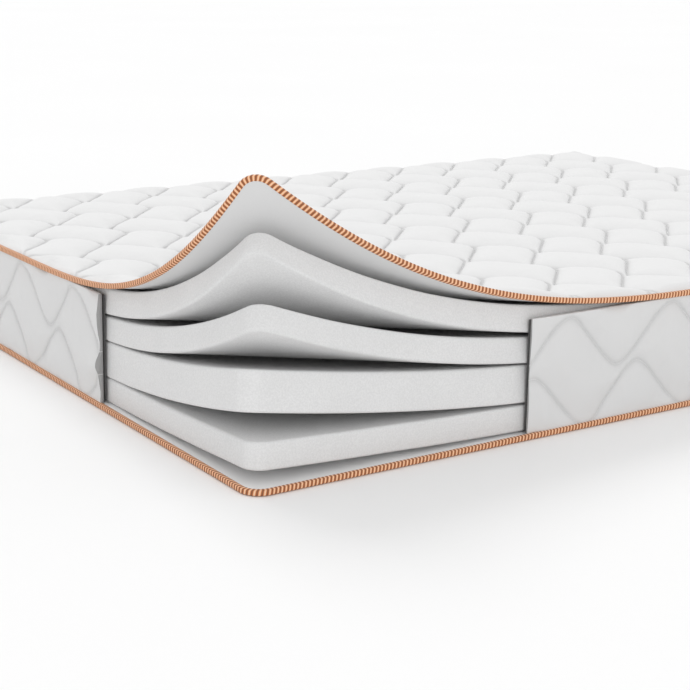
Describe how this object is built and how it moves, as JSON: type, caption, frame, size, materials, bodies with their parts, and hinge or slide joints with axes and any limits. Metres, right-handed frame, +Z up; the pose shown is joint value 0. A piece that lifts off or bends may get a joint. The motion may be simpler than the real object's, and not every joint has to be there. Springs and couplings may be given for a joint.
{
  "type": "memory foam mattress",
  "caption": "Double memory foam mattress as a cutaway sample: a quilted cover with striped piping opens at one corner over stacked foam slabs that fan apart.",
  "frame": {"origin": "middle of the underside, on the surface that the mattress lies on", "axes": "+Y along the mattress's length, +Z up from the floor, and the opened corner at +X -Y"},
  "size_m": [1.4051, 1.9048, 0.4614],
  "materials": {
    "cover_fabric": "quilted white knit, soft matt sheen",
    "border_fabric": "quilted white knit with a wavy stitched line",
    "wadding": "loose fibre wadding",
    "border_backing": "thin dark non-woven backing",
    "panel_lining": "smooth grey non-woven lining",
    "piping": "striped orange and cream woven tape",
    "memory_foam": "fine open-cell foam, pale grey",
    "transition_foam": "fine open-cell foam, pale grey",
    "support_foam": "open-cell foam, pale grey",
    "base_foam": "firm open-cell foam, pale grey"
  },
  "bodies": {
    "mattress": {"bottom_fabric": "cover_fabric", "bottom_lining": "panel_lining", "bottom_piping": "piping", "border_fabric": "border_fabric", "border_wadding": "wadding", "border_backing": "border_backing", "base_foam": "base_foam", "support_foam": "support_foam", "transition_foam": "transition_foam", "memory_foam": "memory_foam", "top_backing": "panel_lining", "top_wadding": "wadding", "top_fabric": "cover_fabric", "top_piping": "piping"},
    "cover_corner": {"top_backing_corner": "panel_lining", "top_wadding_corner": "wadding", "top_fabric_corner": "cover_fabric", "top_piping_corner": "piping"},
    "memory_corner": {"memory_foam_corner": "memory_foam"},
    "transition_corner": {"transition_foam_corner": "transition_foam"},
    "support_corner": {"support_foam_corner": "support_foam"},
    "base_corner": {"base_foam_corner": "base_foam"}
  },
  "joints": [
    {"name": "cover_peel", "type": "hinge", "parent": "mattress", "child": "cover_corner", "pos_m": [0.44113, -0.70434, 0.2112], "axis": [-0.6884, -0.7254, 0], "range_deg": [-45, 15]},
    {"name": "memory_foam_flex", "type": "hinge", "parent": "mattress", "child": "memory_corner", "pos_m": [0.44502, -0.70803, 0.199], "axis": [-0.6884, -0.7254, 0], "range_deg": [-33.75, 11.25]},
    {"name": "transition_foam_flex", "type": "hinge", "parent": "mattress", "child": "transition_corner", "pos_m": [0.45231, -0.71495, 0.1546], "axis": [-0.6884, -0.7254, 0], "range_deg": [-22.5, 7.5]},
    {"name": "support_foam_flex", "type": "hinge", "parent": "mattress", "child": "support_corner", "pos_m": [0.45476, -0.71727, 0.1122], "axis": [-0.6884, -0.7254, 0], "range_deg": [-12.66, 4.22]},
    {"name": "base_foam_flex", "type": "hinge", "parent": "mattress", "child": "base_corner", "pos_m": [0.45534, -0.71782, 0.0498], "axis": [-0.6884, -0.7254, 0], "range_deg": [-4.69, 1.56]}
  ],
  "couplings": [
    {"joint": "memory_foam_flex", "follows": "cover_peel", "ratio": 0.75},
    {"joint": "transition_foam_flex", "follows": "cover_peel", "ratio": 0.5},
    {"joint": "support_foam_flex", "follows": "cover_peel", "ratio": 0.28125},
    {"joint": "base_foam_flex", "follows": "cover_peel", "ratio": 0.10417}
  ]
}
